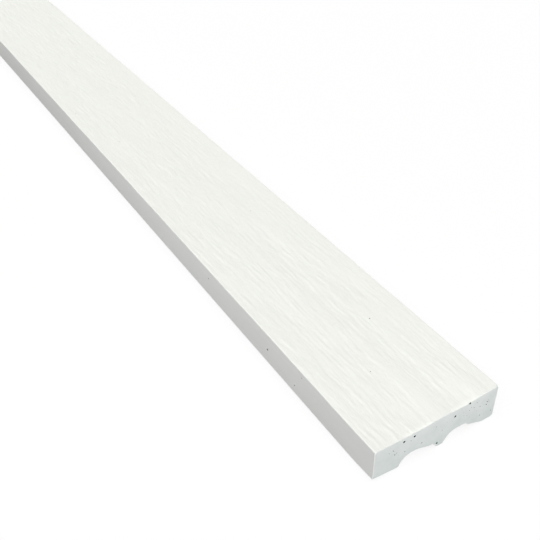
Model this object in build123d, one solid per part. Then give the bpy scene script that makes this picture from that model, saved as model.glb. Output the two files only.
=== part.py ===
from build123d import *
import os

# Fibre cement trim board: one straight length of stock, lying on its back.
# X runs along the board, Y across it, and Z is up, out of the finished face.
# The origin is under the board's middle, on the surface that it lies on.
# Left and right are as seen when looking square at the end towards +X.

# Overall sizes: five-quarter by four stock, eight feet long
board_length = 2438.4
board_width = 88.9
board_thickness = 25.4

# Rounding along the long arrises
face_arris_radius = 0.8
back_arris_radius = 2.0
relief_arris_radius = 0.6

# Flat strips of the back that bear on the wall, all in one plane
left_foot_width = 18.0
right_foot_width = 8.9
rib_tip_width = 3.8
rib_offset = 3.7

# Relief between the left foot and the rib: a curved shoulder that climbs to the
# crest, a long ramp back down, and a narrow landing beside the rib
left_relief_depth = 7.8
left_shoulder_run = 2.8
left_shoulder_radius = 8.0
left_crest_width = 9.7
left_crest_radius = 6.0
landing_height = 4.3
landing_width = 2.1
landing_radius = 1.0
rib_left_flank_run = 4.0

# Relief between the rib and the right foot: a curved shoulder off the rib, a level
# crest, a short step down, and a long ramp out to the foot
right_relief_depth = 7.0
rib_right_flank_run = 5.3
right_shoulder_radius = 7.0
right_crest_width = 10.7
right_crest_radius = 1.5
step_height = 4.1
step_run = 3.3
step_radius = 1.5

# Places across the board, from its centre line
left_edge = -board_width / 2
right_edge = board_width / 2
left_foot_edge = left_edge + left_foot_width
right_foot_edge = right_edge - right_foot_width
rib_left = rib_offset - rib_tip_width / 2
rib_right = rib_offset + rib_tip_width / 2


def left_relief():
    """Corners of the relief left of the rib, each as across, up and rounding."""
    shoulder = left_foot_edge + left_shoulder_run
    crest_end = shoulder + left_crest_width
    landing_end = rib_left - rib_left_flank_run
    landing_start = landing_end - landing_width
    return [
        (left_foot_edge, 0, relief_arris_radius),
        (shoulder, left_relief_depth, left_shoulder_radius),
        (crest_end, left_relief_depth, left_crest_radius),
        (landing_start, landing_height, landing_radius),
        (landing_end, landing_height, landing_radius),
        (rib_left, 0, relief_arris_radius),
    ]


def right_relief():
    """Corners of the relief right of the rib, each as across, up and rounding."""
    shoulder = rib_right + rib_right_flank_run
    crest_end = shoulder + right_crest_width
    step_end = crest_end + step_run
    return [
        (rib_right, 0, relief_arris_radius),
        (shoulder, right_relief_depth, right_shoulder_radius),
        (crest_end, right_relief_depth, right_crest_radius),
        (step_end, step_height, step_radius),
        (right_foot_edge, 0, relief_arris_radius),
    ]


def board_section():
    """Section of the board, square to its length, with its back on the ground."""
    corners = [
        (left_edge, 0, back_arris_radius),
        *left_relief(),
        *right_relief(),
        (right_edge, 0, back_arris_radius),
        (right_edge, board_thickness, face_arris_radius),
        (left_edge, board_thickness, face_arris_radius),
    ]
    outline = FilletPolyline(
        *[(across, up) for across, up, rounding in corners],
        radius=[rounding for across, up, rounding in corners],
        close=True,
    )
    return make_face(outline)


def trim_board():
    """The whole board: its section run along the length and sawn square at both ends."""
    board = extrude(Plane.YZ * board_section(), board_length / 2, both=True)
    board.label = "trim_board"
    return board


os.makedirs("parts", exist_ok=True)
export_step(trim_board(), "parts/trim_board.step")
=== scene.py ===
import math
import random

import bmesh
import bpy
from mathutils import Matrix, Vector


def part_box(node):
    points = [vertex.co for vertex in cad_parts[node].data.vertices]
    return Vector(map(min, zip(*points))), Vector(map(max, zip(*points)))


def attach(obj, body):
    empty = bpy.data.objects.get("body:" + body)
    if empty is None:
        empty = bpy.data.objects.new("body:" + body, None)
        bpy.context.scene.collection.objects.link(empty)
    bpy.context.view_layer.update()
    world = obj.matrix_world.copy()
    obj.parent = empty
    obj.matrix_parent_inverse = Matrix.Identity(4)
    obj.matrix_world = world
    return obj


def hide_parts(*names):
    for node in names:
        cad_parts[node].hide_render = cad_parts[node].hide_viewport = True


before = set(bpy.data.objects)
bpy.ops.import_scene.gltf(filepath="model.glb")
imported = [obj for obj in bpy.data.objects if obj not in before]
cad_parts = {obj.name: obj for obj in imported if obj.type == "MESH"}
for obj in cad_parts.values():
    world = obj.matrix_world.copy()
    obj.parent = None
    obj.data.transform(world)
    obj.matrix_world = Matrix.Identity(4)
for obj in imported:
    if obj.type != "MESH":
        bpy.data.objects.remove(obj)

bl_info = {
    "name": "Embossed trim board",
    "version": (1, 0, 0),
    "blender": (4, 5, 0),
    "location": "3D View > Sidebar > Trim",
    "description": "Models a fibre cement trim board with an embossed face, and the stage it is shown on",
    "category": "Add Mesh",
}

# Board lengths are in metres, and this turns a size in millimetres into one
MM = 0.001

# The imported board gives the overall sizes: X along it, Y across it, Z up out of its face
BOARD_LOW, BOARD_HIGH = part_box("trim_board")
BOARD_LENGTH, BOARD_WIDTH, BOARD_THICKNESS = BOARD_HIGH - BOARD_LOW

# Pinholes that show in the sawn end: millimetres in from the left edge, up from the back, and wide
END_PINHOLES = [
    (20.2, 21.0, 1.6),
    (27.5, 20.9, 1.6),
    (56.9, 18.8, 1.5),
    (67.2, 23.3, 1.5),
    (45.6, 3.3, 1.4),
    (33.6, 11.5, 0.7),
    (81.6, 16.1, 0.8),
    (81.3, 13.9, 0.7),
    (76.3, 15.4, 0.6),
    (77.4, 7.2, 0.6),
    (86.3, 6.1, 0.6),
    (21.6, 12.0, 0.6),
    (10.1, 17.9, 0.5),
]

# Pinholes that show in the face: millimetres back from the +X end, in from the left edge, and wide
FACE_PINHOLES = [(85.8, 62.4, 0.7), (48.9, 34.7, 0.5), (231.5, 61.3, 0.5)]

# Pinholes that show in the left side: millimetres back from the +X end, up from the back, and wide
SIDE_PINHOLES = [(107.9, 12.4, 1.5), (76.9, 7.6, 0.9), (185.7, 17.1, 0.9)]

# Where the A and B colours and the result sit on a colour Mix node
MIX_A, MIX_B, MIX_RESULT = 6, 7, 2


def linear(hex_colour):
    """An sRGB colour such as "F2F3ED" as linear red, green and blue."""
    parts = [int(hex_colour[i:i + 2], 16) / 255 for i in (0, 2, 4)]
    return [c / 12.92 if c <= 0.04045 else ((c + 0.055) / 1.055) ** 2.4 for c in parts]


def size(name, description, millimetres):
    """A length that the user can change, given in millimetres."""
    return bpy.props.FloatProperty(
        name=name, description=description, default=millimetres * MM, min=0.0, unit="LENGTH", precision=5
    )


def colour(name, description, hex_colour):
    """A colour that the user can change, given as sRGB hex."""
    return bpy.props.FloatVectorProperty(
        name=name, description=description, default=linear(hex_colour), min=0.0, max=1.0, subtype="COLOR"
    )


class BoardSection(bpy.types.PropertyGroup):
    """Sizes of the board's section. Left and right are as seen from its +X end."""

    face_arris: size("Face arris", "Rounding of the long edges of the face", 0.8)
    back_arris: size("Back arris", "Rounding of the long edges of the back", 2.0)
    relief_arris: size("Relief arris", "Rounding where a flat strip of the back meets a channel", 0.6)
    left_foot: size("Left foot", "Width of the flat strip at the back's left", 18.0)
    right_foot: size("Right foot", "Width of the flat strip at the back's right", 8.9)
    rib_tip: size("Rib tip", "Width of the flat tip of the rib between the channels", 3.8)
    rib_offset: size("Rib offset", "Distance of the rib's middle from the board's middle", 3.7)
    left_depth: size("Left channel depth", "Height of the left channel's crest", 7.8)
    left_shoulder_run: size("Left shoulder run", "Distance from the left foot to the shoulder's corner", 2.8)
    left_shoulder_radius: size("Left shoulder radius", "Rounding of the left channel's shoulder", 8.0)
    left_crest: size("Left crest", "Width of the left channel's crest", 9.7)
    left_crest_radius: size("Left crest radius", "Rounding where the crest turns into the ramp", 6.0)
    landing_height: size("Landing height", "Height of the narrow landing beside the rib", 4.3)
    landing_width: size("Landing width", "Width of the narrow landing beside the rib", 2.1)
    landing_radius: size("Landing radius", "Rounding at both ends of the landing", 1.0)
    rib_left_run: size("Rib left run", "Width of the rib's sloping left flank", 4.0)
    rib_right_run: size("Rib right run", "Width of the rib's sloping right flank", 5.3)
    right_depth: size("Right channel depth", "Height of the right channel's crest", 7.0)
    right_shoulder_radius: size("Right shoulder radius", "Rounding of the right channel's shoulder", 7.0)
    right_crest: size("Right crest", "Width of the right channel's crest", 10.7)
    right_crest_radius: size("Right crest radius", "Rounding where the crest turns into the step", 1.5)
    step_height: size("Step height", "Height of the foot of the right channel's step", 4.1)
    step_run: size("Step run", "Width of the right channel's step", 3.3)
    step_radius: size("Step radius", "Rounding at the foot of the step", 1.5)


class FaceGrain(bpy.types.PropertyGroup):
    """Sizes and colours of the wood grain embossed in the face."""

    swell_depth: size("Swell depth", "Depth of the broad hollows at the +X end", 1.3)
    swell_width: size("Swell width", "Usual width of the broad hollows", 26.0)
    swell_length: size("Swell length", "Usual length of the broad hollows", 90.0)
    swell_reach: size("Swell reach", "Distance from the +X end over which the hollows grow shallow", 60.0)
    ripple_depth: size("Ripple depth", "Depth of the soft ripples that cover the face", 0.18)
    ripple_width: size("Ripple width", "Usual width of a ripple", 2.3)
    ripple_length: size("Ripple length", "Usual length of a ripple", 10.0)
    fibre_height: size("Fibre height", "Height of the fibres that stand up out of the ripples", 0.38)
    fibre_pitch: size("Fibre pitch", "Usual distance between neighbouring fibres", 3.8)
    fibre_width: size("Fibre width", "Width of a fibre at its foot", 2.6)
    fibre_length: size("Fibre length", "Length of the longest fibres", 27.0)
    furrow_depth: size("Furrow depth", "Depth of the furrows between the fibres", 0.2)
    furrow_pitch: size("Furrow pitch", "Usual distance between neighbouring furrows", 5.0)
    furrow_width: size("Furrow width", "Width of a furrow at its top", 3.0)
    furrow_length: size("Furrow length", "Length of the longest furrows", 22.0)
    press_reach: size("Press reach", "Depth under the face down to which it gives way to the press", 3.0)
    wander: size("Wander", "How far a fibre strays sideways", 1.1)
    wander_length: size("Wander length", "Length over which a fibre strays", 12.0)
    roller_turn: size("Roller turn", "Length of board that one turn of the embossing roller presses", 1000.0)
    roller_light: size("Roller light", "Distance from the +X end at which the roller bites least", 270.0)
    patch_width: size("Patch width", "Usual width of the patches where the press bit less", 14.0)
    patch_length: size("Patch length", "Usual length of the patches where the press bit less", 45.0)
    firm_band: size("Firm band", "Width of the band along each long edge where the hollows fade", 14.0)
    calm_band: size("Calm band", "Width of the shallower grain along the right edge", 16.0)
    stretch: bpy.props.FloatProperty(
        name="Stretch", description="Which stretch of the endless pattern the board got", default=91.39
    )
    # The fibre colour holds a painted highlight and the furrow colour painted shade, which the primer takes
    # on along the grain
    paint: colour("Fibre colour", "Primer on the raised fibres", "F9FAF4")
    shaded_furrow_primer: colour("Furrow colour", "Primer in the bottom of the furrows", "E9EAE4")


class BoardFinish(bpy.types.PropertyGroup):
    """Colours of the moulded sides, the back and the sawn ends, and sizes of their small marks."""

    # A shade darker than the same primer on the face: painted shade on the smooth long edges
    side: colour("Side colour", "Primer on the smooth long edges", "EAEBE8")
    back: colour("Back colour", "Sealer on the back", "E9EAE5")
    core: colour("Core colour", "Bare body on the sawn ends", "F0F4F2")
    # Besides the cooler patches, this colour gives the painted shade towards the back of a sawn end
    core_shade: colour("Core shade", "Cooler patches in the bare body", "DCE4E2")
    skin: colour("Skin colour", "Dense skin round the edge of a sawn end", "F9FBF8")
    # The pinholes' inside is painted near black as the shade in them
    pore_shade: colour("Pore colour", "Inside of the pinholes", "1B1E20")
    skin_width: size("Skin width", "Width of the dense skin round a sawn end", 0.4)
    saw_burr: size("Saw burr", "Width of the edge that the saw breaks off round an end", 0.15)
    foot_wear_along: size("Foot wear along", "Length of the worn corner under the left foot", 33.0)
    foot_wear_across: size("Foot wear across", "Width of the worn corner under the left foot", 30.0)
    foot_wear_up: size("Foot wear up", "Height of the worn corner under the left foot", 2.9)
    chip: size("Chip", "Distance of the chip from the right corner of the face, along each edge", 2.4)


class StageSettings(bpy.types.PropertyGroup):
    """The floor, the lamps and the camera."""

    floor: colour("Floor colour", "Plain pale floor and backdrop", "FFFFFF")
    floor_bounce: colour("Floor bounce", "Floor as the board's edges see it", "747474")
    floor_glow: bpy.props.FloatProperty(
        name="Floor glow",
        description="Share of the paper's light that is an even glow, which reaches the board's back too",
        default=0.2,
    )
    floor_gap: size("Floor gap", "Gap that keeps the floor clear of the board's back", 0.1)
    camera_ahead: size("Camera ahead", "Distance of the camera beyond the +X end", 193.9)
    camera_left: size("Camera left", "Distance of the camera out from the left edge", 177.0)
    camera_height: size("Camera height", "Height of the camera above the floor", 352.0)
    camera_turn: bpy.props.FloatVectorProperty(
        name="Camera turn",
        description="Turn of the camera about X, Y and Z",
        default=[math.radians(a) for a in (51.7128, 1.0863, 58.29)],
        subtype="EULER",
    )
    lens: bpy.props.FloatProperty(
        name="Lens",
        description="Focal length of the camera for a 36 mm wide sensor",
        default=51.54,
        unit="CAMERA",
    )
    sky: bpy.props.FloatProperty(
        name="Sky",
        description="Strength of the wide overhead lamp, where pi lights the face as written",
        default=2.82,
    )
    sky_lean: bpy.props.FloatVectorProperty(
        name="Sky lean",
        description="Lean of the overhead lamp towards the left edge and the +X end",
        default=[math.radians(a) for a in (11, 15, 0)],
        subtype="EULER",
    )
    sky_spread: bpy.props.FloatProperty(
        name="Sky spread", description="Width of the overhead lamp", default=math.radians(90), subtype="ANGLE"
    )
    under: bpy.props.FloatProperty(
        name="Under",
        description="Strength of the lamp below, which also reaches the right edge and the far end",
        default=1.6,
    )
    under_turn: bpy.props.FloatVectorProperty(
        name="Under turn",
        description="Turn of the lamp below, which points up, to the left and to the +X end",
        default=[math.radians(a) for a in (210, 35, 0)],
        subtype="EULER",
    )
    under_spread: bpy.props.FloatProperty(
        name="Under spread", description="Width of the lamp below", default=math.radians(35), subtype="ANGLE"
    )
    room: bpy.props.FloatProperty(
        name="Room", description="Strength of the light that comes from all round", default=0.12
    )
    fill: bpy.props.FloatProperty(
        name="Fill", description="Power of the low lamp beside the left edge, in watts", default=0.58
    )
    end_fill: bpy.props.FloatProperty(
        name="End fill", description="Power of the low lamp ahead of the +X end, in watts", default=0.98
    )
    fill_back: size("Fill back", "Distance of the left low lamp back from the +X end", 120.0)
    fill_out: size("Fill out", "Distance of the low lamps out from the board", 600.0)
    fill_height: size("Fill height", "Height of the low lamps", 60.0)
    fill_size: size("Fill size", "Diameter of the low lamps", 120.0)


def only(piece):
    """Makes the piece the one active and selected object."""
    bpy.ops.object.select_all(action="DESELECT")
    piece.select_set(True)
    bpy.context.view_layer.objects.active = piece


def select(piece, kind, wanted):
    """In edit mode, selects the vertices, edges or faces for which wanted is true, and nothing else."""
    bpy.ops.mesh.select_mode(type=kind)
    bpy.ops.mesh.select_all(action="DESELECT")
    mesh = bmesh.from_edit_mesh(piece.data)
    elements = {"VERT": mesh.verts, "EDGE": mesh.edges, "FACE": mesh.faces}[kind]
    for element in elements:
        if wanted(element):
            element.select_set(True)
    mesh.select_flush_mode()
    bmesh.update_edit_mesh(piece.data)


def near(a, b):
    """Whether two lengths are the same to a hundredth of a millimetre."""
    return abs(a - b) < 0.01 * MM


def runs_along(edge):
    """Whether an edge is one of the long ones that run lengthwise."""
    a, b = (v.co for v in edge.verts)
    return near(a.y, b.y) and near(a.z, b.z) and abs(a.x - b.x) > MM


def back_corners(s):
    """Corners of the relieved back, left to right, each as across, up and rounding."""
    left_foot_edge = BOARD_LOW.y + s.left_foot
    right_foot_edge = BOARD_HIGH.y - s.right_foot
    rib_left = s.rib_offset - s.rib_tip / 2
    rib_right = s.rib_offset + s.rib_tip / 2
    left_shoulder = left_foot_edge + s.left_shoulder_run
    landing_end = rib_left - s.rib_left_run
    right_shoulder = rib_right + s.rib_right_run
    right_crest_end = right_shoulder + s.right_crest
    return [
        (left_foot_edge, 0.0, s.relief_arris),
        (left_shoulder, s.left_depth, s.left_shoulder_radius),
        (left_shoulder + s.left_crest, s.left_depth, s.left_crest_radius),
        (landing_end - s.landing_width, s.landing_height, s.landing_radius),
        (landing_end, s.landing_height, s.landing_radius),
        (rib_left, 0.0, s.relief_arris),
        (rib_right, 0.0, s.relief_arris),
        (right_shoulder, s.right_depth, s.right_shoulder_radius),
        (right_crest_end, s.right_depth, s.right_crest_radius),
        (right_crest_end + s.step_run, s.step_height, s.step_radius),
        (right_foot_edge, 0.0, s.relief_arris),
    ]


def saw_blank():
    """A plain block of the board's full size, lying on the floor, left in edit mode."""
    bpy.ops.object.select_all(action="DESELECT")
    bpy.ops.mesh.primitive_cube_add(
        size=1.0,
        location=(BOARD_LOW + BOARD_HIGH) / 2,
        scale=(BOARD_LENGTH, BOARD_WIDTH, BOARD_THICKNESS),
    )
    board = bpy.context.object
    board.name = board.data.name = "embossed_board"
    bpy.ops.object.transform_apply(location=True, rotation=True, scale=True)
    bpy.ops.object.mode_set(mode="EDIT")
    return board


def relieve_back(board, corners):
    """Scores the block at every corner of the back, then lifts each scored line to its height."""
    for across, up, rounding in corners:
        bpy.ops.mesh.select_all(action="SELECT")
        bpy.ops.mesh.bisect(plane_co=(0, across, 0), plane_no=(0, 1, 0))
    for across, up, rounding in corners:
        if up > 0:
            select(board, "VERT", lambda v: near(v.co.y, across) and near(v.co.z, BOARD_LOW.z))
            bpy.ops.transform.translate(value=(0, 0, up))

    def is_scored(edge):
        a, b = (v.co for v in edge.verts)
        on_face = near(a.z, BOARD_HIGH.z) and near(b.z, BOARD_HIGH.z)
        upright = near(a.y, b.y) and near(a.x, b.x)
        inside = BOARD_LOW.y + MM < a.y < BOARD_HIGH.y - MM
        return inside and (upright or (on_face and runs_along(edge)))

    select(board, "EDGE", is_scored)
    bpy.ops.mesh.dissolve_edges(use_verts=True)


def turn_at(points, i):
    """Angle through which an outline turns at its point i, in radians."""
    before, here, after = (Vector(points[j % len(points)]) for j in (i - 1, i, i + 1))
    return (here - before).angle(after - here)


def round_arrises(board, corners):
    """Rounds each lengthwise edge to its own radius."""
    s = bpy.context.scene.board_section
    outline = [
        (BOARD_LOW.y, BOARD_LOW.z, s.back_arris),
        *corners,
        (BOARD_HIGH.y, BOARD_LOW.z, s.back_arris),
        (BOARD_HIGH.y, BOARD_HIGH.z, s.face_arris),
        (BOARD_LOW.y, BOARD_HIGH.z, s.face_arris),
    ]
    points = [(across, up) for across, up, rounding in outline]
    degrees_per_facet = 18
    for i, (across, up, rounding) in enumerate(outline):
        turn = turn_at(points, i)
        select(
            board,
            "EDGE",
            lambda e: runs_along(e) and near(e.verts[0].co.y, across) and near(e.verts[0].co.z, up),
        )
        bpy.ops.mesh.bevel(
            offset_type="OFFSET",
            offset=rounding * math.tan(turn / 2),
            segments=max(2, math.ceil(math.degrees(turn) / degrees_per_facet)),
            profile=0.5,
            affect="EDGES",
        )


def divide_across(board):
    """Divides the face into columns fine enough to take the grain."""
    # Each of these columns is halved, which makes it 0.6 mm wide, under a quarter of a fibre's width
    columns = 74

    def crosses_face(edge):
        a, b = (v.co for v in edge.verts)
        return near(a.z, BOARD_HIGH.z) and near(b.z, BOARD_HIGH.z) and near(a.x, b.x) and not near(a.y, b.y)

    select(board, "EDGE", crosses_face)
    bpy.ops.mesh.subdivide(number_cuts=columns - 1)
    select(board, "EDGE", crosses_face)
    bpy.ops.mesh.subdivide(number_cuts=1)


def divide_along(board):
    """Divides the board into bays, and the face in each bay into rows fine enough to take the grain."""
    # A bay's 8 rows are 5.1 mm long each
    bays = 60
    rows = 8
    select(board, "EDGE", runs_along)
    bpy.ops.mesh.subdivide(number_cuts=bays - 1)

    arris = bpy.context.scene.board_section.face_arris
    # The bays at the +X end are looked at from close by, so their rows are halved
    close_bays = 8
    close_from = BOARD_HIGH.x - close_bays * BOARD_LENGTH / bays

    def is_on_face(edge):
        return runs_along(edge) and edge.verts[0].co.z > BOARD_HIGH.z - arris - 0.01 * MM

    def is_close(edge):
        return sum(v.co.x for v in edge.verts) / 2 > close_from

    select(board, "EDGE", is_on_face)
    bpy.ops.mesh.subdivide(number_cuts=rows - 1)
    select(board, "EDGE", lambda e: is_on_face(e) and is_close(e))
    bpy.ops.mesh.subdivide(number_cuts=1)


def finish_parts(board, finishes):
    """Gives the board its finishes, a material to each name, and each of its faces the one of its place."""
    for material in finishes.values():
        board.data.materials.append(material)

    def faces(name, wanted):
        select(board, "FACE", wanted)
        board.active_material_index = list(finishes).index(name)
        bpy.ops.object.material_slot_assign()

    middle = (BOARD_LOW.z + BOARD_HIGH.z) / 2
    faces("back", lambda f: f.calc_center_median().z < middle)
    faces("side", lambda f: abs(f.normal.y) > 0.75 and abs(f.calc_center_median().y) > BOARD_HIGH.y - MM)
    faces("core", lambda f: abs(f.normal.x) > 0.9)


def add_node(tree, kind, inputs=(), output=0, **settings):
    """Adds a node with its settings, sets or links its inputs, and gives back one of its outputs."""
    node = tree.nodes.new(kind)
    for name, value in settings.items():
        setattr(node, name, value)
    for key, value in dict(inputs).items():
        if isinstance(value, bpy.types.NodeSocket):
            tree.links.new(value, node.inputs[key])
        else:
            node.inputs[key].default_value = value
    return node.outputs[output] if node.outputs else None


def stretched_noise(tree, place, along, across, detail):
    """Noise with features of the given length and width, in metres, from 0 to 1."""
    scale = (1 / along, 1 / across, 1 / across)
    scaled = add_node(tree, "ShaderNodeVectorMath", {0: place, 1: scale}, operation="MULTIPLY")
    inputs = {"Vector": scaled, "Scale": 1.0, "Detail": detail, "Roughness": 0.5}
    return add_node(tree, "ShaderNodeTexNoise", inputs, noise_dimensions="3D")


def streak_rows(tree, place, pitch, width, length, seed, offset, profile):
    """One set of rows of streaks. Each row is divided into bays, with one streak to a bay.

    The bays are staggered from row to row, and each streak has its own place in its bay, its own slant and
    its own strength. The offset moves the rows sideways, as a share of their pitch.
    """
    along, across = (add_node(tree, "ShaderNodeSeparateXYZ", {0: place}, output=i) for i in (0, 1))
    half_width = 0.5 * width / pitch
    slant = 0.1
    room = 0.5 - half_width - slant / 2
    row = add_node(tree, "ShaderNodeMath", {0: across, 1: 1 / pitch, 2: offset}, operation="MULTIPLY_ADD")
    row_number = add_node(tree, "ShaderNodeMath", {0: row}, operation="ROUND")
    row_key = add_node(tree, "ShaderNodeMath", {0: row_number, 1: seed + offset}, operation="ADD")
    stagger = add_node(
        tree, "ShaderNodeTexWhiteNoise", {"W": row_key}, output="Value", noise_dimensions="1D"
    )
    bay = add_node(tree, "ShaderNodeMath", {0: along, 1: 1 / length, 2: stagger}, operation="MULTIPLY_ADD")
    bay_number = add_node(tree, "ShaderNodeMath", {0: bay}, operation="ROUND")
    key = add_node(tree, "ShaderNodeCombineXYZ", {0: row_key, 1: bay_number})
    chance = add_node(
        tree, "ShaderNodeTexWhiteNoise", {"Vector": key}, output="Color", noise_dimensions="3D"
    )
    chances = [add_node(tree, "ShaderNodeSeparateXYZ", {0: chance}, output=i) for i in range(3)]
    own_place, own_slant, own_strength = (
        add_node(tree, "ShaderNodeMapRange", {"Value": value, "To Min": low, "To Max": high})
        for value, low, high in zip(chances, (-room, -slant, 0.2), (room, slant, 1.0))
    )

    from_middle = add_node(tree, "ShaderNodeMath", {0: bay, 1: bay_number}, operation="SUBTRACT")
    centre = add_node(
        tree, "ShaderNodeMath", {0: own_slant, 1: from_middle, 2: own_place}, operation="MULTIPLY_ADD"
    )
    centre = add_node(tree, "ShaderNodeMath", {0: centre, 1: row_number}, operation="ADD")
    away = add_node(tree, "ShaderNodeMath", {0: row, 1: centre}, operation="SUBTRACT")
    away = add_node(tree, "ShaderNodeMath", {0: away}, operation="ABSOLUTE")
    line = add_node(
        tree,
        "ShaderNodeMapRange",
        {"Value": away, "From Min": 0.0, "From Max": half_width, "To Min": 1.0, "To Max": 0.0},
        interpolation_type=profile,
    )
    # A streak is strong in the middle quarter of its bay, and has faded out at the bay's ends
    from_middle = add_node(tree, "ShaderNodeMath", {0: from_middle}, operation="ABSOLUTE")
    fade = add_node(
        tree,
        "ShaderNodeMapRange",
        {"Value": from_middle, "From Min": 0.12, "From Max": 0.5, "To Min": 1.0, "To Max": 0.0},
        interpolation_type="SMOOTHSTEP",
    )
    fade = add_node(tree, "ShaderNodeMath", {0: fade, 1: own_strength}, operation="MULTIPLY")
    return add_node(tree, "ShaderNodeMath", {0: line, 1: fade}, operation="MULTIPLY")


def streaks(tree, place, pitch, width, length, seed, profile):
    """Separate streaks that run along the board, from 0 beside a streak to 1 at its middle."""
    first, second = (
        streak_rows(tree, place, 2 * pitch, width, length, seed, offset, profile) for offset in (0.0, 0.5)
    )
    return add_node(tree, "ShaderNodeMath", {0: first, 1: second}, operation="MAXIMUM")


def soft_ripples(tree, place):
    """The soft ripples between the fibres, from 0 in a trough to 1 on a crest."""
    g = bpy.context.scene.face_grain
    # One wave of the ripples, crest and trough, is as long in the texture's own units as one ripple's length
    scale = (1 / g.ripple_length, 1 / (2 * g.ripple_width), 1)
    waves = {
        "Vector": add_node(tree, "ShaderNodeVectorMath", {0: place, 1: scale}, operation="MULTIPLY"),
        "Scale": 1.0,
        "Frequency": 1.0,
        "Anisotropy": 0.9,
        "Orientation 2D": math.radians(90),
    }
    ripple = add_node(tree, "ShaderNodeTexGabor", waves, gabor_type="2D")
    return add_node(tree, "ShaderNodeMapRange", {"Value": ripple, "From Min": 0.1, "From Max": 0.9})


def broad_hollows(tree, place, along, across):
    """Height of the broad hollows under the grain, in metres, which is never over 0."""
    g = bpy.context.scene.face_grain
    hollows = stretched_noise(tree, place, along=g.swell_length, across=g.swell_width, detail=1.0)
    hollows = add_node(
        tree,
        "ShaderNodeMapRange",
        {"Value": hollows, "From Min": 0.3, "From Max": 0.7, "To Min": -g.swell_depth, "To Max": 0.0},
        interpolation_type="SMOOTHSTEP",
    )
    # The long edges stay nearly straight, because the hollows fade towards them
    sideways = add_node(tree, "ShaderNodeMath", {0: across}, operation="ABSOLUTE")
    firm = add_node(
        tree,
        "ShaderNodeMapRange",
        {
            "Value": sideways,
            "From Min": BOARD_HIGH.y - g.firm_band,
            "From Max": BOARD_HIGH.y,
            "To Min": 1.0,
            "To Max": 0.2,
        },
        interpolation_type="SMOOTHSTEP",
    )
    hollows = add_node(tree, "ShaderNodeMath", {0: hollows, 1: firm}, operation="MULTIPLY")
    # They are deepest at the +X end, and a third as deep from the swell's reach on
    shallow = add_node(
        tree,
        "ShaderNodeMapRange",
        {
            "Value": along,
            "From Min": BOARD_HIGH.x - g.swell_reach,
            "From Max": BOARD_HIGH.x,
            "To Min": 0.33,
            "To Max": 1.0,
        },
        interpolation_type="SMOOTHSTEP",
    )
    return add_node(tree, "ShaderNodeMath", {0: hollows, 1: shallow}, operation="MULTIPLY")


def press_bite(tree, place, along, across):
    """How deep the press bit, as a factor of the grain's sizes: less in patches, along the right edge, and
    once in each turn of its roller."""
    g = bpy.context.scene.face_grain
    patch = stretched_noise(tree, place, along=g.patch_length, across=g.patch_width, detail=2.0)
    patch = add_node(
        tree,
        "ShaderNodeMapRange",
        {"Value": patch, "From Min": 0.38, "From Max": 0.58, "To Min": 0.5, "To Max": 1.0},
        interpolation_type="SMOOTHSTEP",
    )
    calm = add_node(
        tree,
        "ShaderNodeMapRange",
        {
            "Value": across,
            "From Min": BOARD_HIGH.y - g.calm_band,
            "From Max": BOARD_HIGH.y - g.calm_band / 3,
            "To Min": 1.0,
            "To Max": 0.5,
        },
        interpolation_type="SMOOTHSTEP",
    )
    turn = add_node(tree, "ShaderNodeMath", {0: along, 1: g.roller_light - BOARD_HIGH.x}, operation="ADD")
    turn = add_node(tree, "ShaderNodeMath", {0: turn, 1: math.tau / g.roller_turn}, operation="MULTIPLY")
    turn = add_node(tree, "ShaderNodeMath", {0: turn}, operation="COSINE")
    turn = add_node(
        tree,
        "ShaderNodeMapRange",
        {"Value": turn, "From Min": -1.0, "From Max": 1.0, "To Min": 1.25, "To Max": 0.76},
    )
    bite = add_node(tree, "ShaderNodeMath", {0: patch, 1: calm}, operation="MULTIPLY")
    return add_node(tree, "ShaderNodeMath", {0: bite, 1: turn}, operation="MULTIPLY")


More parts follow.
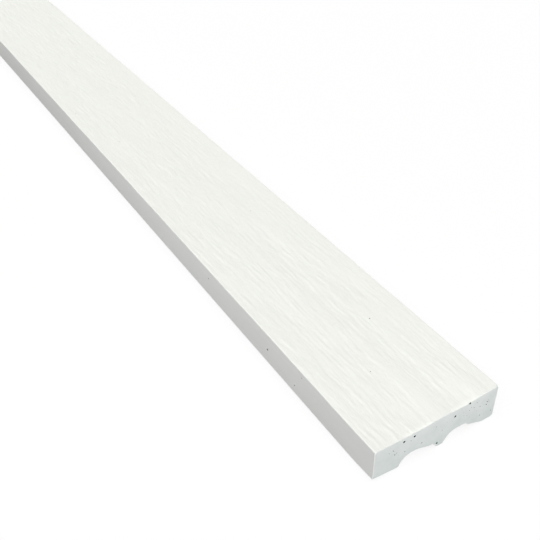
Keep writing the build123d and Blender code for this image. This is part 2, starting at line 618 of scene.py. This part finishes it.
def pressed_grain(tree, place):
    """The embossed grain at a place: its fine part, about -1 in a furrow and 1 on a fibre, and its height
    above the board's face in metres, which is never over 0.

    The mesh and the primer's colour are built from the same nodes, so the colour's painted shade and
    highlight follow the relief.
    """
    g = bpy.context.scene.face_grain
    along, across = (add_node(tree, "ShaderNodeSeparateXYZ", {0: place}, output=i) for i in (0, 1))
    level = (0, 0, g.stretch)
    flat = add_node(
        tree, "ShaderNodeVectorMath", {0: place, 1: (1, 1, 0), 2: level}, operation="MULTIPLY_ADD"
    )

    # Neighbouring fibres stray sideways together
    neighbours = 3
    stray = stretched_noise(tree, flat, along=g.wander_length, across=neighbours * g.fibre_pitch, detail=2.0)
    stray = add_node(
        tree,
        "ShaderNodeMapRange",
        {"Value": stray, "From Min": 0.25, "From Max": 0.75, "To Min": -g.wander, "To Max": g.wander},
    )
    stray = add_node(tree, "ShaderNodeCombineXYZ", {1: stray})
    strayed = add_node(tree, "ShaderNodeVectorMath", {0: flat, 1: stray}, operation="ADD")

    # Fibres rise to a sharp crest, and furrows are rounded
    fibre = streaks(tree, strayed, g.fibre_pitch, g.fibre_width, g.fibre_length, 1.0, "LINEAR")
    furrow = streaks(tree, strayed, g.furrow_pitch, g.furrow_width, g.furrow_length, 2.0, "SMOOTHSTEP")
    ripple = soft_ripples(tree, strayed)
    bite = press_bite(tree, flat, along, across)

    fine = add_node(tree, "ShaderNodeMapRange", {"Value": ripple, "To Min": -1.1, "To Max": 0.9})
    for part, weight in ((fibre, 0.8), (furrow, -0.9)):
        fine = add_node(tree, "ShaderNodeMath", {0: part, 1: weight, 2: fine}, operation="MULTIPLY_ADD")
    fine = add_node(tree, "ShaderNodeMath", {0: fine, 1: bite}, operation="MULTIPLY")

    # Heights are taken down from a fibre on a ripple's crest, so that nothing stands out of the face
    low, high = -g.fibre_height - g.ripple_depth, -g.ripple_depth
    height = add_node(tree, "ShaderNodeMapRange", {"Value": fibre, "To Min": low, "To Max": high})
    for part, depth in ((ripple, g.ripple_depth), (furrow, -g.furrow_depth)):
        height = add_node(tree, "ShaderNodeMath", {0: part, 1: depth, 2: height}, operation="MULTIPLY_ADD")
    hollows = broad_hollows(tree, strayed, along, across)
    height = add_node(tree, "ShaderNodeMath", {0: height, 1: bite, 2: hollows}, operation="MULTIPLY_ADD")
    return fine, height


def emboss_grain(board):
    """Presses the grain into the face. What lies just under the face, such as its arrises, goes with it."""
    tree = bpy.data.node_groups.new("grain_press", "GeometryNodeTree")
    tree.interface.new_socket("Board", in_out="INPUT", socket_type="NodeSocketGeometry")
    tree.interface.new_socket("Board", in_out="OUTPUT", socket_type="NodeSocketGeometry")
    blank = add_node(tree, "NodeGroupInput")
    place = add_node(tree, "GeometryNodeInputPosition")
    height = add_node(tree, "ShaderNodeSeparateXYZ", {0: place}, output=2)
    reach = bpy.context.scene.face_grain.press_reach
    press = add_node(
        tree,
        "ShaderNodeMapRange",
        {"Value": height, "From Min": BOARD_HIGH.z - reach, "From Max": BOARD_HIGH.z},
    )
    depth = pressed_grain(tree, place)[1]
    drop = add_node(tree, "ShaderNodeMath", {0: depth, 1: press}, operation="MULTIPLY")
    drop = add_node(tree, "ShaderNodeCombineXYZ", {2: drop})
    pressed = add_node(tree, "GeometryNodeSetPosition", {"Geometry": blank, "Offset": drop})
    add_node(tree, "NodeGroupOutput", {0: pressed})

    only(board)
    bpy.ops.object.modifier_add(type="NODES")
    modifier = board.modifiers[-1]
    modifier.node_group = tree
    bpy.ops.object.modifier_apply(modifier=modifier.name)
    bpy.data.node_groups.remove(tree)


def dress_ends(board, skin, core):
    """Breaks the edges that the saw left round both ends, and parts the dense skin from the core."""
    finish = bpy.context.scene.board_finish
    if finish.saw_burr + finish.skin_width >= bpy.context.scene.board_section.relief_arris:
        raise ValueError("The saw burr and the dense skin are together too wide for the relief arris")

    def is_end(face):
        return abs(face.normal.x) > 0.999

    select(board, "FACE", is_end)
    bpy.ops.mesh.bevel(offset_type="OFFSET", offset=finish.saw_burr, segments=1, affect="EDGES")
    select(board, "FACE", is_end)
    board.active_material_index = skin
    bpy.ops.object.material_slot_assign()
    bpy.ops.mesh.inset(thickness=finish.skin_width, use_even_offset=True)
    board.active_material_index = core
    bpy.ops.object.material_slot_assign()


def pit(place, width, depth, axis):
    """A blind hole to cut: as wide as given, and as deep along the axis on either side of its place."""
    bpy.ops.mesh.primitive_ico_sphere_add(subdivisions=2, radius=1.0, location=place)
    hole = bpy.context.object
    hole.scale = [depth if i == axis else width / 2 for i in range(3)]
    return hole


def on_face(board, x, y):
    """The point of the embossed face that lies at the given place along and across the board."""
    depsgraph = bpy.context.evaluated_depsgraph_get()
    hit, point = board.ray_cast((x, y, BOARD_HIGH.z + MM), (0, 0, -1), depsgraph=depsgraph)[:2]
    if not hit:
        raise RuntimeError("No face of the board was found under the place of a pinhole")
    return point


def pinhole_places(board):
    """Places, widths and axes of all pinholes: those that show on the board, and more like them elsewhere."""
    rng = random.Random(5)
    end, left, back = BOARD_HIGH.x, BOARD_LOW.y, BOARD_LOW.z
    marks = []
    for across, up, width in END_PINHOLES:
        marks.append(((end, left + across * MM, back + up * MM), width * MM, 0))
    for run, up, width in SIDE_PINHOLES:
        marks.append(((end - run * MM, left, back + up * MM), width * MM, 1))
    for run, across, width in FACE_PINHOLES:
        marks.append((on_face(board, end - run * MM, left + across * MM), width * MM, 2))
    narrowest, commonest = 0.15, 0.2

    def scatter(count, low, high, widest, axis):
        wanted = len(marks) + count
        while len(marks) < wanted:
            place = [rng.uniform(a, b) for a, b in zip(low, high)]
            if axis == 2:
                place = on_face(board, place[0], place[1])
            width = rng.triangular(narrowest, widest, commonest) * MM
            if all(math.dist(place, other) > width + other_width for other, other_width, other_axis in marks):
                marks.append((place, width, axis))

    # All keep clear of the arrises, and those in the ends stay above the channels of the back
    edge = 2 * MM
    low = BOARD_LOW + Vector((edge, edge, 2 * edge))
    high = BOARD_HIGH - Vector((edge, edge, 2 * edge))
    above_channels = BOARD_LOW.z + 9.5 * MM
    for x in (BOARD_LOW.x, BOARD_HIGH.x):
        scatter(26, (x, low.y, above_channels), (x, high.y, high.z), widest=0.8, axis=0)
    for y in (BOARD_LOW.y, BOARD_HIGH.y):
        scatter(14, (low.x, y, low.z), (high.x, y, high.z), widest=0.9, axis=1)
    scatter(24, low, high, widest=0.6, axis=2)
    return marks


def pierce(board, pinhole_material):
    """Cuts the pinholes into the ends, the sides and the face."""
    bpy.ops.object.select_all(action="DESELECT")
    depth_to_width = 1.4
    holes = [pit(place, width, depth_to_width * width, axis) for place, width, axis in pinhole_places(board)]
    for hole in holes:
        hole.select_set(True)
    bpy.context.view_layer.objects.active = holes[0]
    bpy.ops.object.join()
    cutter = bpy.context.object
    cutter.data.materials.append(pinhole_material)
    bpy.ops.object.transform_apply(location=True, rotation=True, scale=True)

    only(board)
    vertices = len(board.data.vertices)
    bpy.ops.object.modifier_add(type="BOOLEAN")
    modifier = board.modifiers[-1]
    modifier.operation = "DIFFERENCE"
    modifier.solver = "EXACT"
    modifier.material_mode = "TRANSFER"
    modifier.object = cutter
    bpy.ops.object.modifier_apply(modifier=modifier.name)
    bpy.data.objects.remove(cutter)
    if len(board.data.vertices) < vertices:
        raise RuntimeError("The cut for the pinholes took part of the board away")


def wear_corner(board, corner, along, across, up, bare):
    """Takes a corner of the +X end off, flat, as far along, across and up from it as given."""
    bpy.ops.object.mode_set(mode="EDIT")
    bpy.ops.mesh.select_all(action="SELECT")
    outward = Vector((1 / along, 1 / across, 1 / up)).normalized()
    bpy.ops.mesh.bisect(
        plane_co=corner - Vector((along, 0, 0)), plane_no=outward, use_fill=True, clear_outer=True
    )
    select(board, "FACE", lambda f: f.normal.dot(outward) > 0.999)
    board.active_material_index = bare
    bpy.ops.object.material_slot_assign()
    bpy.ops.object.mode_set(mode="OBJECT")


def start_finish(name):
    """A new material, its tree without nodes, and the place on the board that its patterns read."""
    material = bpy.data.materials.new(name)
    material.use_nodes = True
    material.node_tree.nodes.clear()
    place = add_node(material.node_tree, "ShaderNodeTexCoord", output="Object")
    return material, material.node_tree, place


def end_finish(material, share, low, high, roughness, relief, depth):
    """Completes a dull mineral surface. Its colour goes from low to high with share, and its fine relief is
    bump, as deep as given in metres."""
    tree = material.node_tree
    tone = add_node(
        tree,
        "ShaderNodeMix",
        {0: share, MIX_A: (*low, 1.0), MIX_B: (*high, 1.0)},
        output=MIX_RESULT,
        data_type="RGBA",
    )
    normal = add_node(
        tree, "ShaderNodeBump", {"Height": relief, "Distance": depth, "Strength": 1.0}, output="Normal"
    )
    surface = add_node(
        tree,
        "ShaderNodeBsdfPrincipled",
        {"Base Color": tone, "Roughness": roughness, "IOR": 1.5, "Normal": normal},
    )
    add_node(tree, "ShaderNodeOutputMaterial", {"Surface": surface})
    return material


def embossed_acrylic_primer():
    """Acrylic primer sprayed over the embossed face: near white and dull, with painted shade that greys it in
    the furrows and a painted highlight on the fibres. The eye reads the grain from that and from the light on
    its slopes."""
    material, tree, place = start_finish("embossed_acrylic_primer")
    g = bpy.context.scene.face_grain
    fine = pressed_grain(tree, place)[0]
    # Faint flecks of the spray
    flecks = stretched_noise(tree, place, along=3 * MM, across=0.8 * MM, detail=2.0)
    share = add_node(
        tree,
        "ShaderNodeMapRange",
        {"Value": flecks, "From Min": 0.3, "From Max": 0.7, "To Min": 0.35, "To Max": 0.6},
    )
    # Share of the primer's colour that follows the grain: painted shade in the furrows and a painted
    # highlight on the fibres
    painted_relief_shade = 0.22
    share = add_node(
        tree,
        "ShaderNodeMath",
        {0: fine, 1: painted_relief_shade, 2: share},
        operation="MULTIPLY_ADD",
        use_clamp=True,
    )
    # The finest fibres are too narrow for the mesh, so they are relief in the primer, and are drawn a
    # millimetre wide, coarser than the real ones, to show
    hairs = stretched_noise(tree, place, along=4 * MM, across=1.0 * MM, detail=2.0)
    return end_finish(material, share, g.shaded_furrow_primer, g.paint, roughness=0.6, relief=hairs, depth=0.13 * MM)


def smooth_acrylic_primer():
    """The same primer on the edges that the mould left smooth: flat and even, with faint lines along it, and
    set a shade darker than on the face as painted shade.
    """
    material, tree, place = start_finish("smooth_acrylic_primer")
    finish = bpy.context.scene.board_finish
    lines = stretched_noise(tree, place, along=120 * MM, across=1.2 * MM, detail=2.0)
    mottle = stretched_noise(tree, place, along=25 * MM, across=12 * MM, detail=3.0)
    share = add_node(tree, "ShaderNodeMath", {0: lines, 1: mottle}, operation="MULTIPLY")
    shade = [c * 0.94 for c in finish.side]
    return end_finish(material, share, finish.side, shade, roughness=0.75, relief=lines, depth=0.03 * MM)


def sealed_fibre_cement():
    """Thin sealer on the moulded back: a duller, slightly greyer white, cloudy where it soaked in."""
    material, tree, place = start_finish("sealed_fibre_cement")
    finish = bpy.context.scene.board_finish
    clouds = stretched_noise(tree, place, along=60 * MM, across=25 * MM, detail=4.0)
    shade = [c * 0.9 for c in finish.back]
    # The real pores are finer, and are drawn coarse enough to show
    pores = stretched_noise(tree, place, along=1.5 * MM, across=0.8 * MM, detail=3.0)
    return end_finish(material, clouds, finish.back, shade, roughness=0.75, relief=pores, depth=0.06 * MM)


def sawn_fibre_cement():
    """Bare body cut by a fine saw: a cool, chalky white with soft bluish patches and fine grit, and painted
    shade towards the back.
    """
    material, tree, place = start_finish("sawn_fibre_cement")
    finish = bpy.context.scene.board_finish
    patches = stretched_noise(tree, place, along=9 * MM, across=9 * MM, detail=2.0)
    patches = add_node(
        tree, "ShaderNodeMapRange", {"Value": patches, "From Min": 0.35, "From Max": 0.7, "To Max": 0.45}
    )
    # Painted shade: the sawn end is drawn a little darker towards the back
    up = add_node(tree, "ShaderNodeSeparateXYZ", {0: place}, output=2)
    deep = add_node(
        tree,
        "ShaderNodeMapRange",
        {"Value": up, "From Min": BOARD_LOW.z, "From Max": BOARD_HIGH.z, "To Min": 0.9, "To Max": 0.0},
    )
    patches = add_node(tree, "ShaderNodeMath", {0: patches, 1: deep}, operation="ADD", use_clamp=True)
    # The real grit is finer, and is drawn coarse enough to show
    grit = stretched_noise(tree, place, along=0.5 * MM, across=0.5 * MM, detail=2.0)
    return end_finish(
        material, patches, finish.core, finish.core_shade, roughness=0.85, relief=grit, depth=0.05 * MM
    )


def dense_cement_skin():
    """The outermost fraction of a millimetre round a sawn end, where the body set against the mould: denser
    and paler than the core, so the end seems drawn round with a thin light line."""
    material, tree, place = start_finish("dense_cement_skin")
    finish = bpy.context.scene.board_finish
    # The real grit is finer here too
    grit = stretched_noise(tree, place, along=0.8 * MM, across=0.8 * MM, detail=2.0)
    shade = [c * 0.97 for c in finish.skin]
    return end_finish(material, grit, finish.skin, shade, roughness=0.75, relief=grit, depth=0.02 * MM)


def opened_cement_bubble():
    """The inside of a bubble that the saw opened: rough, and painted dark as the shade in the hole, where
    hardly any light gets out.
    """
    material, tree, place = start_finish("opened_cement_bubble")
    finish = bpy.context.scene.board_finish
    # The real grit is finer, and is drawn as coarse as the hole can show
    grit = stretched_noise(tree, place, along=0.3 * MM, across=0.3 * MM, detail=2.0)
    shade = [c * 0.6 for c in finish.pore_shade]
    return end_finish(material, grit, finish.pore_shade, shade, roughness=0.9, relief=grit, depth=0.03 * MM)


class MESH_OT_embossed_board(bpy.types.Operator):
    """Models the trim board: relieved back, rounded arrises, embossed face and pinholed ends"""

    bl_idname = "mesh.embossed_board_add"
    bl_label = "Embossed board"

    def execute(self, context):
        corners = back_corners(context.scene.board_section)
        finishes = {
            "face": embossed_acrylic_primer(),
            "side": smooth_acrylic_primer(),
            "back": sealed_fibre_cement(),
            "core": sawn_fibre_cement(),
            "skin": dense_cement_skin(),
        }
        names = list(finishes)
        board = saw_blank()
        relieve_back(board, corners)
        round_arrises(board, corners)
        divide_across(board)
        finish_parts(board, finishes)
        dress_ends(board, names.index("skin"), names.index("core"))
        divide_along(board)
        bpy.ops.object.mode_set(mode="OBJECT")
        emboss_grain(board)
        pierce(board, opened_cement_bubble())
        s = context.scene.board_finish
        bare = names.index("core")
        left_foot = Vector((BOARD_HIGH.x, BOARD_LOW.y, BOARD_LOW.z))
        right_top = Vector((BOARD_HIGH.x, BOARD_HIGH.y, BOARD_HIGH.z))
        wear_corner(board, left_foot, s.foot_wear_along, -s.foot_wear_across, -s.foot_wear_up, bare)
        wear_corner(board, right_top, s.chip, s.chip, s.chip, bare)
        only(board)
        bpy.ops.object.shade_smooth_by_angle(angle=math.radians(30))
        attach(board, "root")
        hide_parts("trim_board")
        return {"FINISHED"}


def background_rays(tree):
    """1 for a ray that shows the background, which is one from the eye, a reflection or glass, and else 0."""
    rays = [
        add_node(tree, "ShaderNodeLightPath", output=name)
        for name in ("Is Camera Ray", "Is Glossy Ray", "Is Transmission Ray")
    ]
    seen = add_node(tree, "ShaderNodeMath", {0: rays[0], 1: rays[1]}, operation="MAXIMUM")
    return add_node(tree, "ShaderNodeMath", {0: seen, 1: rays[2]}, operation="MAXIMUM")


def backdrop_world(stage):
    """A plain white surround for the eye and for reflections, with only a little light of its own."""
    world = bpy.data.worlds.new("studio")
    bpy.context.scene.world = world
    world.use_nodes = True
    tree = world.node_tree
    tree.nodes.clear()
    seen = background_rays(tree)
    strength = add_node(tree, "ShaderNodeMapRange", {"Value": seen, "To Min": stage.room, "To Max": 1.0})
    backdrop = add_node(tree, "ShaderNodeBackground", {"Color": (*stage.floor, 1.0), "Strength": strength})
    add_node(tree, "ShaderNodeOutputWorld", {"Surface": backdrop})


def paper_floor(stage):
    """Matt white background paper. To the eye its shadows are lightened, as on an evenly lit paper sweep.
    From below it is clear to the eye and to the lamp there, so that the board's back can be looked at."""
    glow_to_eye = 0.8
    material = bpy.data.materials.new("paper_floor")
    material.use_nodes = True
    tree = material.node_tree
    tree.nodes.clear()
    seen = background_rays(tree)
    below = add_node(tree, "ShaderNodeNewGeometry", output="Backfacing")
    tint = add_node(
        tree,
        "ShaderNodeMix",
        {0: seen, MIX_A: (*stage.floor_bounce, 1.0), MIX_B: (*stage.floor, 1.0)},
        output=MIX_RESULT,
        data_type="RGBA",
    )
    paper = add_node(tree, "ShaderNodeBsdfDiffuse", {"Color": tint})
    glow = add_node(tree, "ShaderNodeEmission", {"Color": (*stage.floor, 1.0), "Strength": 1.0})
    clear = add_node(tree, "ShaderNodeBsdfTransparent")
    share = {"Value": seen, "To Min": stage.floor_glow, "To Max": glow_to_eye}
    share = add_node(tree, "ShaderNodeMapRange", share)
    surface = add_node(tree, "ShaderNodeMixShader", {0: share, 1: paper, 2: glow})
    shadow = add_node(tree, "ShaderNodeLightPath", output="Is Shadow Ray")
    hidden = add_node(tree, "ShaderNodeMath", {0: seen, 1: below, 2: shadow}, operation="MULTIPLY_ADD")
    surface = add_node(tree, "ShaderNodeMixShader", {0: hidden, 1: surface, 2: clear})
    add_node(tree, "ShaderNodeOutputMaterial", {"Surface": surface})
    return material


class SCENE_OT_trim_stage(bpy.types.Operator):
    """Sets up the paper floor, the soft lamps and the camera"""

    bl_idname = "scene.trim_stage_add"
    bl_label = "Stage"

    def execute(self, context):
        stage = context.scene.stage_settings
        bpy.ops.object.select_all(action="DESELECT")
        floor_size = 40.0
        bpy.ops.mesh.primitive_plane_add(size=floor_size, location=(0, 0, BOARD_LOW.z - stage.floor_gap))
        floor = context.object
        floor.name = floor.data.name = "paper_floor"
        floor.data.materials.append(paper_floor(stage))

        for name, height, turn, strength, spread in (
            ("overhead_softbox", 2.0, stage.sky_lean, stage.sky, stage.sky_spread),
            ("under_softbox", -2.0, stage.under_turn, stage.under, stage.under_spread),
        ):
            bpy.ops.object.light_add(type="SUN", location=(0, 0, height), rotation=turn)
            lamp = context.object
            lamp.name = name
            lamp.data.energy = strength
            lamp.data.angle = spread

        left_lamp = (BOARD_HIGH.x - stage.fill_back, BOARD_LOW.y - stage.fill_out, stage.fill_height)
        end_lamp = (BOARD_HIGH.x + stage.fill_out, 0.0, stage.fill_height)
        upright = math.radians(90)
        for name, place, turn, power in (
            ("left_fill", left_lamp, (upright, 0, 0), stage.fill),
            ("end_fill", end_lamp, (upright, 0, upright), stage.end_fill),
        ):
            bpy.ops.object.light_add(type="AREA", location=place, rotation=turn)
            lamp = context.object
            lamp.name = name
            lamp.data.shape = "DISK"
            lamp.data.size = stage.fill_size
            lamp.data.energy = power

        backdrop_world(stage)
        bpy.ops.object.camera_add(
            location=(
                BOARD_HIGH.x + stage.camera_ahead,
                BOARD_LOW.y - stage.camera_left,
                BOARD_LOW.z + stage.camera_height,
            ),
            rotation=stage.camera_turn,
        )
        camera = context.object
        camera.data.lens = stage.lens
        context.scene.camera = camera
        context.scene.view_settings.view_transform = "Standard"
        return {"FINISHED"}


class VIEW3D_PT_trim_board(bpy.types.Panel):
    """Lists the sizes and colours, and the steps that make the board and its stage"""

    bl_idname = "VIEW3D_PT_trim_board"
    bl_label = "Trim board"
    bl_space_type = "VIEW_3D"
    bl_region_type = "UI"
    bl_category = "Trim"

    def draw(self, context):
        scene = context.scene
        for title, group in (
            ("Section", scene.board_section),
            ("Grain", scene.face_grain),
            ("Finish", scene.board_finish),
            ("Stage", scene.stage_settings),
        ):
            box = self.layout.box()
            box.label(text=title)
            for name in group.__annotations__:
                box.prop(group, name)
        self.layout.operator(MESH_OT_embossed_board.bl_idname)
        self.layout.operator(SCENE_OT_trim_stage.bl_idname)


CLASSES = [
    BoardSection,
    FaceGrain,
    BoardFinish,
    StageSettings,
    MESH_OT_embossed_board,
    SCENE_OT_trim_stage,
    VIEW3D_PT_trim_board,
]


def register():
    for cls in CLASSES:
        bpy.utils.register_class(cls)
    bpy.types.Scene.board_section = bpy.props.PointerProperty(type=BoardSection)
    bpy.types.Scene.face_grain = bpy.props.PointerProperty(type=FaceGrain)
    bpy.types.Scene.board_finish = bpy.props.PointerProperty(type=BoardFinish)
    bpy.types.Scene.stage_settings = bpy.props.PointerProperty(type=StageSettings)


def unregister():
    del bpy.types.Scene.stage_settings
    del bpy.types.Scene.board_finish
    del bpy.types.Scene.face_grain
    del bpy.types.Scene.board_section
    for cls in reversed(CLASSES):
        bpy.utils.unregister_class(cls)


def main():
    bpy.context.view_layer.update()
    register()
    bpy.ops.mesh.embossed_board_add()
    bpy.ops.scene.trim_stage_add()


if __name__ == "__main__":
    main()
